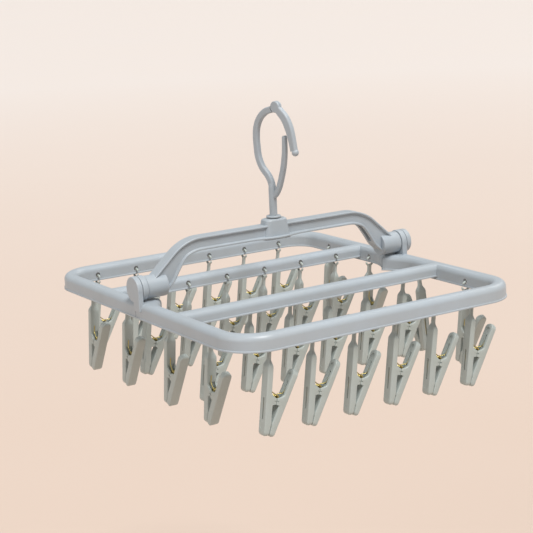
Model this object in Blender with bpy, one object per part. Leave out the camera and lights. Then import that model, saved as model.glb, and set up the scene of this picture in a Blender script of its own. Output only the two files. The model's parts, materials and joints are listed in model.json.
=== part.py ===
"""Clip drying hanger: a snap hook on a swivel, an arch handle, two half frames that fold up, and 32 clips.

Metres, +Z up. The origin is where the hook's inside rests on the pole. X runs along the hinge between the
two half frames, and -Y is the front half.
"""

import math

import bmesh
import bpy
from mathutils import Matrix, Vector

MM = 0.001
GAP = 0.3                    # running gap between pieces that touch on the real hanger

# hinge between the half frames and the arch
HINGE_Z = -147.0
EAR_RADIUS = 12.0
OUTER_EAR = (154.6, 160.0)
INNER_EAR = (148.3, 154.3)
BARREL = (129.0, 148.0)
BARREL_RADIUS = 11.0
PIN_RADIUS = 2.5
PIN = (131.0, 158.2)
NECK_INSET = 0.1             # how far an ear's neck stays inside the ear's faces
NECK_DEPTH = 8.0             # how far it reaches down into the arm

# half frames
FRAME_TOP = HINGE_Z - EAR_RADIUS - GAP
FRAME_HEIGHT = 15.5
FRAME_BOTTOM = FRAME_TOP - FRAME_HEIGHT
RAIL_WIDTH = 14.0
HALF_LENGTH = 158.0
HALF_DEPTH = 184.0
CORNER_RADIUS = 38.0
CROSSBAR = 58.0              # from the hinge to the crossbar's near wall
SADDLE_WIDTH = 14.0          # how much wider the arms are at the hinge
SADDLE_LENGTH = 34.0
WALL = 1.6
TOP_WALL = 2.2
LIP = 0.8
LIP_HEIGHT = 1.5
LIP_SLOPE = 0.4
TOP_ROUND = 6.0              # the rails' tops are almost half round
ROUND_STEPS = 3
CHANNEL_SHOULDER = 5.0       # below this far from the top, a rail's hollow is at its full width
CHANNEL_DRAW = 3.6           # how far the hollow's upper part stays inside the rail's sides
CROSSBAR_RISE = 3.0          # how much higher the crossbar's underside is than the other rails'
CROSSBAR_REACH = 151.0       # where the crossbar's ends lie inside the arms
CROSSBAR_TOP = FRAME_TOP - 0.05
CUTTER_REACH = 5.0           # how far a cutter runs past what it cuts

# clips and their holes
HOLE_PITCH = 45.0
ROW = [HOLE_PITCH * k for k in (-2.5, -1.5, -0.5, 0.5, 1.5, 2.5)]
FRONT_ROW_SHIFT = -6.0
ARM_PLACES = (42.0, 116.0)
HOLE_RADIUS = 2.6
RING_RADIUS = 4.4
RING_WIRE = 2.0
RING_Z = FRAME_BOTTOM + 1.0
HOLE_Z = RING_Z + RING_RADIUS + 0.6
RING_OPENING = (150.0, 190.0)
STEM_HALF_WIDTH = 2.3
CLIP_WIDTH = 10.0
LEG_THICKNESS = 5.6
SHOULDER_Z = -12.0
TIP_Z = -79.0
FULCRUM_Z = -46.0
JAW_ANGLE = 21.5             # between the two legs, closed
CLIP_LEAN = 7.5
TIP_HALF_THICKNESS = 2.4
JAW_HEIGHT = 9.0             # the gripping face at the tip
HOLLOW_LOW = 1.6             # how far a leg draws back from the split just above the jaw
HOLLOW_HIGH = 3.2            # and just below the fulcrum
SHOULDER_FALL = 7.0          # from the top of a leg's shoulder to its full thickness
LEVER_TOP_Z = SHOULDER_Z - 5.0
TIP_ROUND = 2.0

# arch handle
ARCH_FLAT = 86.0
ARCH_BEND_RADIUS = 40.0
ARCH_SLOPE = 42.0
ARCH_FOOT = 138.5            # where the sloping leg ends, inside its barrel
ARCH_MIDDLE_Z = HINGE_Z + 33.9
ARCH_HEIGHT = 13.2
FOOT_FLARE = (104.0, 126.0, 6.5)    # a leg's underside drops from the first x to the second, by this much
ARCH_WIDTH = 14.0
ARCH_FLANGE = 2.2
ARCH_RECESS = 2.0
ARCH_POCKET = 6.0
LEG_STEPS = 4
POCKET_STEPS = 3             # of each sloping leg's steps, how many the hollow underside reaches into
POCKET_SHORT = 0.8           # the share of the last of those steps that it leaves solid
BOSS_TOP = -101.1
BOSS_BOTTOM = HINGE_Z + 26.0
BOSS_LOW = (15.5, 9.0)
BOSS_HIGH = (12.0, 7.9)
BOSS_WALL = 4.0
BOSS_BORE = 6.5
BOSS_CORNER = 5.4
SKIRT_HALF_LENGTH = 31.0
SKIRT_SWELL = 5.6
SKIRT_STEP = 0.4             # what it stands out of the arch's lower flange, below and above
SKIRT_STEPS = 10

# hook, drawn in its own upright plane and then turned
HOOK_TURN = 13.0
HOOK_THICKNESS = 5.2
BACK_ARM_WIDTH = 6.6
TONGUE_WIDTH = 5.4
TONGUE_TIP = 4.0             # its width at the free end
TONGUE_THICKNESS = 4.6
CLAW_WIDTH = (7.6, 8.8, 7.0)     # at the knuckle, in the middle and at the tip
KNUCKLE = (-9.8, 8.4)
KNUCKLE_RADIUS = 5.6
LAP_CLEARANCE = 0.5
CLAW_PIN_RADIUS = 1.3
CLAW_PIN_COVER = 0.9         # plastic over each end of the pin
CLAW_BALL_RADIUS = 3.5
STEM_RADIUS = 3.8
STEM_TOP = -66.0
STEM_FOOT = BOSS_TOP - BOSS_WALL - 0.1
COLLAR_RADIUS = 7.3
COLLAR = (-100.5, -98.6)
WASHER_RADIUS = 5.5
WASHER_THICKNESS = 1.5
SCREW_HEAD = (3.2, 2.2)      # radius and height
SCREW_RADIUS = 1.3
SCREW_DEPTH = 7.5            # inside the stem

PALE_PLASTIC = ("hanger_plastic", (0.56, 0.61, 0.65), 0.38, 0.0)
CLIP_PLASTIC = ("clip_plastic", (0.56, 0.60, 0.57), 0.42, 0.0)
PIN_METAL = ("pin_metal", (0.62, 0.62, 0.60), 0.3, 1.0)

SIDE_VIEW = Matrix(((1, 0, 0, 0), (0, 0, -1, 0), (0, 1, 0, 0), (0, 0, 0, 1)))    # drawn x, y become X, Z
END_VIEW = Matrix(((0, 0, 1, 0), (1, 0, 0, 0), (0, 1, 0, 0), (0, 0, 0, 1)))      # drawn x, y become Y, Z


def clear_scene():
    for thing in list(bpy.context.scene.objects):
        bpy.data.objects.remove(thing, do_unlink=True)


def collection(name):
    made = bpy.data.collections.new(name)
    bpy.context.scene.collection.children.link(made)
    return made


def material(name, colour, roughness, metallic):
    found = bpy.data.materials.get(name)
    if found:
        return found
    made = bpy.data.materials.new(name)
    made.use_nodes = True
    shader = made.node_tree.nodes["Principled BSDF"]
    shader.inputs["Base Color"].default_value = (*colour, 1.0)
    shader.inputs["Roughness"].default_value = roughness
    shader.inputs["Metallic"].default_value = metallic
    return made


def add_object(name, mesh, place=None):
    thing = bpy.data.objects.new(name, mesh)
    thing.matrix_world = place or Matrix()
    PIECES.objects.link(thing)
    return thing


def finished(thing, look):
    if not thing.data.materials:
        thing.data.materials.append(material(*look))
    thing.data.shade_smooth()
    thing.data.set_sharp_from_angle(angle=math.radians(35))
    return thing


def mesh_from(thing):
    """The shape as its modifiers leave it, with loose caps welded."""
    bpy.context.view_layer.update()
    graph = bpy.context.evaluated_depsgraph_get()
    mesh = bpy.data.meshes.new_from_object(thing.evaluated_get(graph))
    made = bmesh.new()
    made.from_mesh(mesh)
    bmesh.ops.remove_doubles(made, verts=made.verts, dist=1e-6)
    bmesh.ops.recalc_face_normals(made, faces=made.faces)
    made.to_mesh(mesh)
    made.free()
    return mesh


def applied(thing):
    """Replaces an object's mesh by its evaluated one, and removes its modifiers."""
    mesh = mesh_from(thing)
    thing.modifiers.clear()
    thing.data = mesh
    return thing


def flat_piece(name, outline, thickness, place):
    """An outline in millimetres, drawn in its own plane and given a thickness."""
    curve = bpy.data.curves.new(name, "CURVE")
    curve.dimensions = "2D"
    curve.fill_mode = "BOTH"
    curve.extrude = thickness * MM / 2
    spline = curve.splines.new("POLY")
    spline.points.add(len(outline) - 1)
    for point, (x, y) in zip(spline.points, outline):
        point.co = (x * MM, y * MM, 0.0, 1.0)
    spline.use_cyclic_u = True
    drawn = add_object(name + "_outline", curve)
    mesh = mesh_from(drawn)
    bpy.data.objects.remove(drawn)
    mesh.transform(place)
    return add_object(name, mesh)


def round_bar(name, radius, start, end, sides=24):
    """A cylinder between two points, in millimetres."""
    start, end = Vector(start) * MM, Vector(end) * MM
    mesh = bpy.data.meshes.new(name)
    made = bmesh.new()
    bmesh.ops.create_cone(made, cap_ends=True, segments=sides, radius1=radius * MM, radius2=radius * MM,
                          depth=(end - start).length)
    made.to_mesh(mesh)
    made.free()
    turn = Vector((0, 0, 1)).rotation_difference(end - start).to_matrix().to_4x4()
    mesh.transform(Matrix.Translation((start + end) / 2) @ turn)
    return add_object(name, mesh)


def block(name, low, high):
    low, high = Vector(low) * MM, Vector(high) * MM
    mesh = bpy.data.meshes.new(name)
    made = bmesh.new()
    bmesh.ops.create_cube(made, size=1.0)
    made.to_mesh(mesh)
    made.free()
    mesh.transform(Matrix.Translation((low + high) / 2) @ Matrix.Diagonal((*(high - low), 1.0)))
    return add_object(name, mesh)


def set_origin(thing, point):
    """Puts an object's origin at a point in millimetres, and leaves its shape where it is."""
    point = Vector(point) * MM
    thing.data.transform(Matrix.Translation(-point))
    thing.matrix_world = Matrix.Translation(point)
    return thing


def boolean(thing, other, operation):
    step = thing.modifiers.new(operation.lower(), "BOOLEAN")
    step.operation = operation
    step.solver = "EXACT"
    step.object = other
    applied(thing)
    bpy.data.objects.remove(other)
    return thing


def cut(thing, other):
    return boolean(thing, other, "DIFFERENCE")


def join(thing, other):
    return boolean(thing, other, "UNION")


def round_edges(thing, width, chosen, segments=2):
    """Rounds the sharp edges for which chosen(edge) is true."""
    made = bmesh.new()
    made.from_mesh(thing.data)
    edges = [edge for edge in made.edges if edge.calc_face_angle(0.0) > 0.5 and chosen(edge)]
    bmesh.ops.bevel(made, geom=edges, offset=width * MM, segments=segments, profile=0.5, affect="EDGES",
                    clamp_overlap=True)
    made.to_mesh(thing.data)
    made.free()
    return thing


def flat_at(level):
    """Chooses the edges that lie at one height, in millimetres."""
    return lambda edge: all(abs(v.co.z - level * MM) < 1e-5 for v in edge.verts)


def arc(centre, radius, first, last, steps):
    out = []
    for k in range(steps + 1):
        angle = math.radians(first + (last - first) * k / steps)
        out.append((centre[0] + radius * math.cos(angle), centre[1] + radius * math.sin(angle)))
    return out


def smooth_path(points, per_span):
    """A Catmull-Rom curve through points."""
    ends = [Vector(points[0]) * 2 - Vector(points[1]), Vector(points[-1]) * 2 - Vector(points[-2])]
    route = [ends[0], *[Vector(p) for p in points], ends[1]]
    out = []
    for a, b, c, d in zip(route, route[1:], route[2:], route[3:]):
        for k in range(per_span):
            t = k / per_span
            out.append(0.5 * (2 * b + (c - a) * t + (2 * a - 5 * b + 4 * c - d) * t**2
                              + (3 * b - a - 3 * c + d) * t**3))
    return out + [route[-2]]


def ribbon(path, low, high):
    """The outline of a band that follows path, from offset low to offset high on its left side."""
    path = [Vector(p) for p in path]
    sides = [[], []]
    for k, point in enumerate(path):
        along = (path[min(k + 1, len(path) - 1)] - path[max(k - 1, 0)]).normalized()
        left = Vector((-along.y, along.x))
        part = k / (len(path) - 1)
        for side, offset in zip(sides, (low, high)):
            sized = offset(part) if callable(offset) else offset
            side.append(tuple(point + left * sized))
    return sides[0] + sides[1][::-1]


# ---------------------------------------------------------------- half frames

def saddle(grow, end):
    """The inside of one arm near the hinge, where it widens in a hollow curve towards y = end."""
    inner = HALF_LENGTH - RAIL_WIDTH - grow
    out = []
    for k in range(7):
        t = k / 6
        out.append((inner - SADDLE_WIDTH * t**2, -SADDLE_LENGTH * (1 - t)))
    out[-1] = (out[-1][0], end)
    return out


def loop_sides(grow, end):
    """The outer and inner side of the arms and outer rail, from the left arm's end to the right arm's."""
    far_x, far_y = HALF_LENGTH + grow, -HALF_DEPTH - grow
    near_x, near_y = HALF_LENGTH - RAIL_WIDTH - grow, -HALF_DEPTH + RAIL_WIDTH + grow
    radius, tight = CORNER_RADIUS + grow, CORNER_RADIUS - RAIL_WIDTH - grow
    right_saddle = saddle(grow, end)
    right_outer = arc((far_x - radius, far_y + radius), radius, 270, 360, 8) + [(far_x, y) for _, y in right_saddle]
    right_inner = arc((near_x - tight, near_y + tight), tight, 270, 360, 8) + right_saddle
    return [[(-x, y) for x, y in side[::-1]] + side for side in (right_outer, right_inner)]


def crossbar_sides(grow, end):
    """The two sides of the crossbar, which runs from x = -end to end."""
    near, far = -CROSSBAR + grow, -CROSSBAR - RAIL_WIDTH - grow
    return [(-end, far), (end, far)], [(-end, near), (end, near)]


def stacked(name, sides, end, levels):
    """A rail: a solid between two sides, drawn at several (height, grown width) levels."""
    made = bmesh.new()
    rings = []
    for height, grow in levels:
        outer, inner = sides(grow, end)
        rings.append([[made.verts.new((x * MM, y * MM, height * MM)) for x, y in side] for side in (outer, inner)])
    for outer, inner in (rings[0], rings[-1]):
        for corners in zip(outer, outer[1:], inner[1:], inner):
            made.faces.new(corners)
    loops = [outer + inner[::-1] for outer, inner in rings]
    for one, two in zip(loops, loops[1:]):
        for corners in zip(one, one[1:] + one[:1], two[1:] + two[:1], two):
            made.faces.new(corners)
    bmesh.ops.recalc_face_normals(made, faces=made.faces)
    mesh = bpy.data.meshes.new(name)
    made.to_mesh(mesh)
    made.free()
    return add_object(name, mesh)


def rail_levels(bottom, top):
    """A rail's section: a lip at the bottom, straight sides and a round top."""
    levels = [(bottom, LIP), (bottom + LIP_HEIGHT, LIP), (bottom + LIP_HEIGHT + LIP_SLOPE, 0.0)]
    for k in range(ROUND_STEPS + 1):
        angle = math.radians(90 * k / ROUND_STEPS)
        levels.append((top - TOP_ROUND + TOP_ROUND * math.sin(angle), TOP_ROUND * (math.cos(angle) - 1)))
    return levels


def channels(sides, end):
    """The hollow inside a rail, wide below and narrower under the round top."""
    shoulder = FRAME_TOP - CHANNEL_SHOULDER
    return stacked("channel", sides, end, [
        (FRAME_BOTTOM - CUTTER_REACH, -WALL), (shoulder, -WALL), (FRAME_TOP - TOP_WALL, -CHANNEL_DRAW)])


def ring_holes(outer_shift):
    """Both ends of each clip hole, through the walls that face the hinge and the walls that face inwards."""
    rows = [(-CROSSBAR - WALL / 2, 0.0, HOLE_Z + CROSSBAR_RISE),
            (-HALF_DEPTH + RAIL_WIDTH - WALL / 2, outer_shift, HOLE_Z)]
    middle_x = HALF_LENGTH - RAIL_WIDTH + WALL / 2
    middles = [((x + shift, y, z), (0, WALL)) for y, shift, z in rows for x in ROW]
    middles += [((side * middle_x, -y, HOLE_Z), (WALL, 0)) for side in (-1, 1) for y in ARM_PLACES]
    return [((x - across, y - along, z), (x + across, y + along, z))
            for (x, y, z), (across, along) in middles]


def half_frame(name, outer_shift, turned):
    frame = stacked(name, loop_sides, -GAP, rail_levels(FRAME_BOTTOM, FRAME_TOP))
    bar = rail_levels(FRAME_BOTTOM + CROSSBAR_RISE, CROSSBAR_TOP)
    join(frame, stacked("crossbar", crossbar_sides, CROSSBAR_REACH, bar))
    cut(frame, channels(loop_sides, -GAP - WALL))
    cut(frame, channels(crossbar_sides, HALF_LENGTH - RAIL_WIDTH - GAP))
    for side, (near, far) in ((-1, OUTER_EAR), (1, INNER_EAR)):
        low, high = sorted((side * near, side * far))
        ear = round_bar("ear", EAR_RADIUS, (low, 0, HINGE_Z), (high, 0, HINGE_Z), 20)
        neck = block("neck", (low + NECK_INSET, -EAR_RADIUS + 0.6, FRAME_TOP - NECK_DEPTH),
                     (high - NECK_INSET, -GAP - 0.2, HINGE_Z - EAR_RADIUS / 3))
        join(frame, join(ear, neck))
        mouth = side * (near - 1)
        end = side * (PIN[1] + GAP) if far > PIN[1] else side * (far + 1)
        cut(frame, round_bar("pin_hole", PIN_RADIUS + GAP, (mouth, 0, HINGE_Z), (end, 0, HINGE_Z), 16))
    for start, end in ring_holes(outer_shift):
        cut(frame, round_bar("ring_hole", HOLE_RADIUS, start, end, 8))
    if turned:
        frame.data.transform(Matrix.Rotation(math.pi, 4, "Z"))
    return finished(set_origin(frame, (0, 0, HINGE_Z)), PALE_PLASTIC)


# ---------------------------------------------------------------- arch handle

def arch_path():
    """The middle line of the arch in the XZ plane, from its left foot to its right one."""
    centre = (ARCH_FLAT, ARCH_MIDDLE_Z - ARCH_BEND_RADIUS)
    bend = arc(centre, ARCH_BEND_RADIUS, 90, 90 - ARCH_SLOPE, 7)
    slope = math.radians(ARCH_SLOPE)
    knee = Vector(bend[-1])
    foot = Vector((ARCH_FOOT, knee.y - (ARCH_FOOT - knee.x) * math.tan(slope)))
    right = bend + [tuple(knee.lerp(foot, k / LEG_STEPS)) for k in range(1, LEG_STEPS + 1)]
    return [(-x, z) for x, z in right[::-1]] + right


def boss_plan(half_x, half_y):
    x, y = half_x - BOSS_CORNER, half_y - BOSS_CORNER
    corners = [(x, y, 0), (-x, y, 90), (-x, -y, 180), (x, -y, 270)]
    return [p for x, y, first in corners for p in arc((x, y), BOSS_CORNER, first, first + 90, 3)]


def boss():
    height = BOSS_TOP - BOSS_BOTTOM
    place = Matrix.Translation((0, 0, (BOSS_TOP + BOSS_BOTTOM) / 2 * MM))
    made = flat_piece("boss", boss_plan(*BOSS_LOW), height, place)
    for vertex in made.data.vertices:
        if vertex.co.z > (BOSS_TOP - 1) * MM:
            vertex.co.x *= BOSS_HIGH[0] / BOSS_LOW[0]
            vertex.co.y *= BOSS_HIGH[1] / BOSS_LOW[1]
    return round_edges(made, 2.0, flat_at(BOSS_TOP))


def boss_skirt():
    """The lower flange, which swells around the boss in an S-shaped edge."""
    edge = []
    for k in range(SKIRT_STEPS + 1):
        part = 2 * k / SKIRT_STEPS - 1
        rise = (0.5 + 0.5 * math.cos(math.pi * part)) ** 1.3
        edge.append((SKIRT_HALF_LENGTH * part, ARCH_WIDTH / 2 - 0.05 + SKIRT_SWELL * rise))
    outline = edge + [(x, -y) for x, y in edge[::-1]]
    low, thickness = ARCH_MIDDLE_Z - ARCH_HEIGHT / 2 - SKIRT_STEP, ARCH_FLANGE + 2 * SKIRT_STEP
    return flat_piece("skirt", outline, thickness, Matrix.Translation((0, 0, (low + thickness / 2) * MM)))


def underside(path, depth):
    """The arch's lower edge as an offset from its middle line: it drops where a leg flares to its barrel."""
    first, last, drop = FOOT_FLARE

    def offset(part):
        x = abs(path[round(part * (len(path) - 1))][0])
        flare = min(max((x - first) / (last - first), 0.0), 1.0)
        return -depth - drop * flare**1.5
    return offset


def arch_handle():
    path, half = arch_path(), ARCH_HEIGHT / 2
    arch = flat_piece("arch_handle", ribbon(path, underside(path, half), half), ARCH_WIDTH, SIDE_VIEW)
    inner = half - ARCH_FLANGE
    for side in (-1, 1):
        y = side * (ARCH_WIDTH / 2 - ARCH_RECESS + CUTTER_REACH / 2)
        place = Matrix.Translation((0, y * MM, 0)) @ SIDE_VIEW
        cut(arch, flat_piece("recess", ribbon(path, underside(path, inner), inner), CUTTER_REACH, place))
    for side in (-1, 1):
        low, high = sorted((side * BARREL[0], side * BARREL[1]))
        join(arch, round_bar("barrel", BARREL_RADIUS, (low, 0, HINGE_Z), (high, 0, HINGE_Z), 20))
    join(arch, boss_skirt())
    join(arch, boss())
    left_out = LEG_STEPS - POCKET_STEPS
    hollow = [Vector(point) for point in path[left_out:-left_out]]
    hollow[0], hollow[-1] = (one.lerp(two, POCKET_SHORT) for one, two in (hollow[:2], hollow[:-3:-1]))
    pocket = ribbon(hollow, -half - FOOT_FLARE[2] - CUTTER_REACH, inner)
    cut(arch, flat_piece("pocket", pocket, ARCH_POCKET, SIDE_VIEW))
    cut(arch, round_bar("foot_space", BOSS_BORE, (0, 0, BOSS_BOTTOM - 10), (0, 0, BOSS_TOP - BOSS_WALL), 20))
    cut(arch, round_bar("stem_hole", STEM_RADIUS + 0.4, (0, 0, BOSS_BOTTOM), (0, 0, BOSS_TOP + 1), 20))
    for side in (-1, 1):
        start, end = side * (PIN[0] - GAP), side * (BARREL[1] + 1)
        cut(arch, round_bar("pin_hole", PIN_RADIUS + GAP, (start, 0, HINGE_Z), (end, 0, HINGE_Z), 16))
    return finished(arch, PALE_PLASTIC)


def hinge_pin(name, side):
    start, end = (side * PIN[0], 0, HINGE_Z), (side * PIN[1], 0, HINGE_Z)
    return finished(round_bar(name, PIN_RADIUS, start, end, 16), PIN_METAL)


# ---------------------------------------------------------------- hook

HOOK_PLACE = Matrix.Rotation(math.radians(HOOK_TURN), 4, "Z")
BACK_ARM = [(-9.8, 8.4), (-4.0, 5.8), (4.0, 3.3), (11.6, -2.4), (16.8, -11.0), (18.6, -21.0), (18.2, -32.5),
            (16.8, -42.5), (12.2, -52.0), (4.8, -59.5), (0.8, -66.5), (0.0, -73.0)]
TONGUE = [(0.0, -80.0), (-5.2, -77.0), (-9.8, -69.5), (-13.9, -58.5), (-16.9, -48.0), (-18.9, -36.0),
          (-19.4, -26.0), (-19.5, -19.0)]
CLAW = [(-9.8, 8.4), (-14.9, 4.0), (-21.4, -2.4), (-26.0, -11.0), (-29.0, -20.5), (-31.4, -33.0)]
CLAW_TIP = (-33.0, -34.6)


def hook_band(name, path, low, high, thickness):
    """A flat band of the hook in its own plane, with rounded long edges."""
    made = flat_piece(name, ribbon(smooth_path(path, 2), low, high), thickness, END_VIEW)
    side = thickness / 2 * MM
    return round_edges(made, 1.3, lambda edge: all(abs(abs(v.co.x) - side) < 1e-6 for v in edge.verts), 1)


def tapered(first, middle, last):
    """A band's two edges, for widths at its start, middle and end."""
    def half_width(part):
        return (first + (middle - first) * 2 * part if part < 0.5 else last + (middle - last) * 2 * (1 - part)) / 2
    return lambda part: -half_width(part), half_width


def knuckle_disc(name, radius, low, high, sides=24):
    return round_bar(name, radius, (low, *KNUCKLE), (high, *KNUCKLE), sides)


def hook_body():
    half = HOOK_THICKNESS / 2
    body = hook_band("hook_body", BACK_ARM, -BACK_ARM_WIDTH / 2, BACK_ARM_WIDTH / 2, HOOK_THICKNESS)
    join(body, hook_band("tongue", TONGUE, *tapered(TONGUE_WIDTH, TONGUE_WIDTH, TONGUE_TIP), TONGUE_THICKNESS))
    join(body, knuckle_disc("disc", KNUCKLE_RADIUS, -half, half))
    join(body, round_bar("stem", STEM_RADIUS, (0, 0, STEM_FOOT), (0, 0, STEM_TOP), 20))
    join(body, round_bar("collar", COLLAR_RADIUS, (0, 0, COLLAR[0]), (0, 0, COLLAR[1]), 24))
    cut(body, knuckle_disc("lap", KNUCKLE_RADIUS + LAP_CLEARANCE, -half - 1, GAP / 2))
    cut(body, knuckle_disc("pin_hole", CLAW_PIN_RADIUS + GAP, -1, half - CLAW_PIN_COVER + GAP, 12))
    cut(body, round_bar("screw_hole", SCREW_RADIUS + GAP, (0, 0, STEM_FOOT - 1),
                        (0, 0, STEM_FOOT + SCREW_DEPTH + GAP), 12))
    body.data.transform(HOOK_PLACE)
    return finished(body, PALE_PLASTIC)


def hook_claw():
    half = HOOK_THICKNESS / 2
    claw = hook_band("hook_claw", CLAW, *tapered(*CLAW_WIDTH), HOOK_THICKNESS)
    join(claw, knuckle_disc("disc", KNUCKLE_RADIUS, -half, half))
    ball = bpy.data.meshes.new("ball")
    made = bmesh.new()
    bmesh.ops.create_uvsphere(made, u_segments=12, v_segments=8, radius=CLAW_BALL_RADIUS * MM)
    made.to_mesh(ball)
    made.free()
    ball.transform(Matrix.Translation((0, CLAW_TIP[0] * MM, CLAW_TIP[1] * MM)))
    join(claw, add_object("ball", ball))
    cut(claw, knuckle_disc("lap", KNUCKLE_RADIUS + LAP_CLEARANCE, -GAP / 2, half + 1))
    cut(claw, knuckle_disc("pin_hole", CLAW_PIN_RADIUS + GAP, CLAW_PIN_COVER - half - GAP, 1, 12))
    claw.data.transform(HOOK_PLACE)
    return finished(set_origin(claw, HOOK_PLACE @ Vector((0, *KNUCKLE))), PALE_PLASTIC)


def claw_pin():
    half = HOOK_THICKNESS / 2 - CLAW_PIN_COVER
    pin = knuckle_disc("claw_pin", CLAW_PIN_RADIUS, -half, half, 12)
    pin.data.transform(HOOK_PLACE)
    return finished(pin, PIN_METAL)


def swivel_washer():
    top = STEM_FOOT - GAP
    low = top - WASHER_THICKNESS
    washer = round_bar("swivel_washer", WASHER_RADIUS, (0, 0, low), (0, 0, top), 20)
    cut(washer, round_bar("washer_hole", SCREW_RADIUS + GAP, (0, 0, low - 1), (0, 0, top + 1), 12))
    return finished(washer, PIN_METAL)


def swivel_screw():
    head = STEM_FOOT - WASHER_THICKNESS - 2 * GAP
    screw = round_bar("swivel_screw", SCREW_HEAD[0], (0, 0, head - SCREW_HEAD[1]), (0, 0, head), 16)
    join(screw, round_bar("shank", SCREW_RADIUS, (0, 0, head - 1), (0, 0, STEM_FOOT + SCREW_DEPTH), 12))
    return finished(screw, PIN_METAL)


# ---------------------------------------------------------------- clips

def split_x(z):
    """Where the line between the two legs lies, at one height below the ring's centre."""
    return TIP_HALF_THICKNESS + (z - TIP_Z) * math.tan(math.radians(JAW_ANGLE / 2))


FULCRUM = Vector((split_x(FULCRUM_Z), 0, FULCRUM_Z))
LEAN = Matrix.Rotation(math.radians(CLIP_LEAN), 4, "Y")
JAW_PIVOT = LEAN @ FULCRUM


def leg_profile(top, gap):
    """One leg from the side: a bar with a fulcrum nose, a hollow below it and a jaw at the tip."""
    half = LEG_THICKNESS / 2
    jaw = TIP_Z + JAW_HEIGHT
    notch_low, notch_high = jaw + 3, FULCRUM_Z - 4
    return top + [
        (-half, TIP_Z + 3), (-half + 1.2, TIP_Z),
        (split_x(TIP_Z) - gap, TIP_Z), (split_x(jaw) - gap, jaw),
        (split_x(notch_low) - HOLLOW_LOW, notch_low), (split_x(notch_high) - HOLLOW_HIGH, notch_high),
        (split_x(FULCRUM_Z - 1.5) - gap, FULCRUM_Z - 1.5), (split_x(FULCRUM_Z) - gap, FULCRUM_Z),
        (half, FULCRUM_Z + 10),
    ]


def hooked_top():
    half, wire, low = LEG_THICKNESS / 2, RING_WIRE / 2, SHOULDER_Z - SHOULDER_FALL
    return [(half, low), (wire, SHOULDER_Z), (-wire, SHOULDER_Z), (-half, low)]


def lever_top():
    half, low = LEG_THICKNESS / 2, LEVER_TOP_Z - 3
    return [(half, low), (half / 2, LEVER_TOP_Z), (-half / 2, LEVER_TOP_Z), (-half, low)]


def face_outline(neck, top):
    """A leg's broad face: full width, rounded at the tip, and drawn in to neck at the top."""
    half = CLIP_WIDTH / 2
    if neck is None:
        upper = arc((0, top - half), half, 0, 180, 4)
    else:
        side = [(half, top - 6.0), (half - 0.8, top - 3.5), (neck, top)]
        upper = side + [(-x, z) for x, z in side[::-1]]
    lower = [(half - TIP_ROUND, TIP_Z), (half, TIP_Z + TIP_ROUND)]
    return upper + [(-x, z) for x, z in lower[::-1]] + lower


def clip_leg(name, top, gap, neck, top_z):
    bar = flat_piece(name, leg_profile(top, gap), CLIP_WIDTH + 2, SIDE_VIEW)
    face = flat_piece("face", face_outline(neck, top_z), 60.0, END_VIEW)
    return boolean(bar, face, "INTERSECT")


def ring_and_stem():
    """The open ring that hangs in a rail's hole, and the stem below it, as one flat shape."""
    outer, inner = RING_RADIUS + RING_WIRE / 2, RING_RADIUS - RING_WIRE / 2
    drop = math.degrees(math.asin(STEM_HALF_WIDTH / outer))
    first, last = RING_OPENING
    outline = (
        arc((0, 0), outer, last, 270 - drop, 2)
        + [(-STEM_HALF_WIDTH, SHOULDER_Z - 2), (STEM_HALF_WIDTH, SHOULDER_Z - 2)]
        + arc((0, 0), outer, 270 + drop, 360 + first, 8)
        + arc((0, 0), inner, 360 + first, last, 9)
    )
    return flat_piece("ring", outline, RING_WIRE, END_VIEW)


def hooked_leg(gap):
    leg = clip_leg("hooked_leg", hooked_top(), gap, STEM_HALF_WIDTH, SHOULDER_Z)
    return join(leg, ring_and_stem())


def lever(gap):
    """The sprung leg: the hooked leg's lower part, mirrored in the line between the two."""
    made = clip_leg("lever", lever_top(), gap, None, LEVER_TOP_Z)
    split = math.radians(JAW_ANGLE / 2)
    across = Vector((math.cos(split), 0, -math.sin(split)))
    point = FULCRUM * MM
    mirror = Matrix.Translation(point) @ Matrix.Scale(-1, 4, across) @ Matrix.Translation(-point)
    made.data.transform(mirror)
    made.data.flip_normals()
    return made


def clip_meshes():
    """What the clips share: the meshes of a hooked leg, a lever, and both joined at the fulcrum.

    A lever's mesh has its origin at the jaw's pivot, and the others at the ring's centre.
    """
    whole = join(hooked_leg(-0.1), lever(-0.1))
    leg, arm = hooked_leg(GAP / 2), lever(GAP / 2)
    arm.data.transform(LEAN.inverted() @ Matrix.Translation(-JAW_PIVOT * MM) @ LEAN)
    meshes = {}
    for kind, thing in (("leg", leg), ("lever", arm), ("clip", whole)):
        mesh = thing.data
        mesh.transform(LEAN)
        mesh.name = kind
        bpy.data.objects.remove(thing)
        meshes[kind] = mesh
    return meshes


def clip_places():
    """(name, ring centre, turn about Z in degrees, has its own lever) for each clip."""
    bar_z = RING_Z + CROSSBAR_RISE
    wall_row = HALF_DEPTH - RAIL_WIDTH + WALL / 2
    wall_bar = CROSSBAR + WALL / 2
    wall_arm = HALF_LENGTH - RAIL_WIDTH + WALL / 2
    out = []
    for half, side, shift in (("front", -1, FRONT_ROW_SHIFT), ("back", 1, 0.0)):
        own = half == "front"
        for k, x in enumerate(ROW):
            out.append((f"{half}_outer_{k + 1}", (x + shift, side * wall_row, RING_Z), 0, own))
            out.append((f"{half}_inner_{k + 1}", (x, side * wall_bar, bar_z), 0, own))
        for k, y in enumerate(ARM_PLACES):
            out.append((f"{half}_left_{k + 1}", (-wall_arm, side * y, RING_Z), -90, own))
            turn = 90 if own and k == 0 else -90
            out.append((f"{half}_right_{k + 1}", (wall_arm, side * y, RING_Z), turn, own))
    return out


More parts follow.
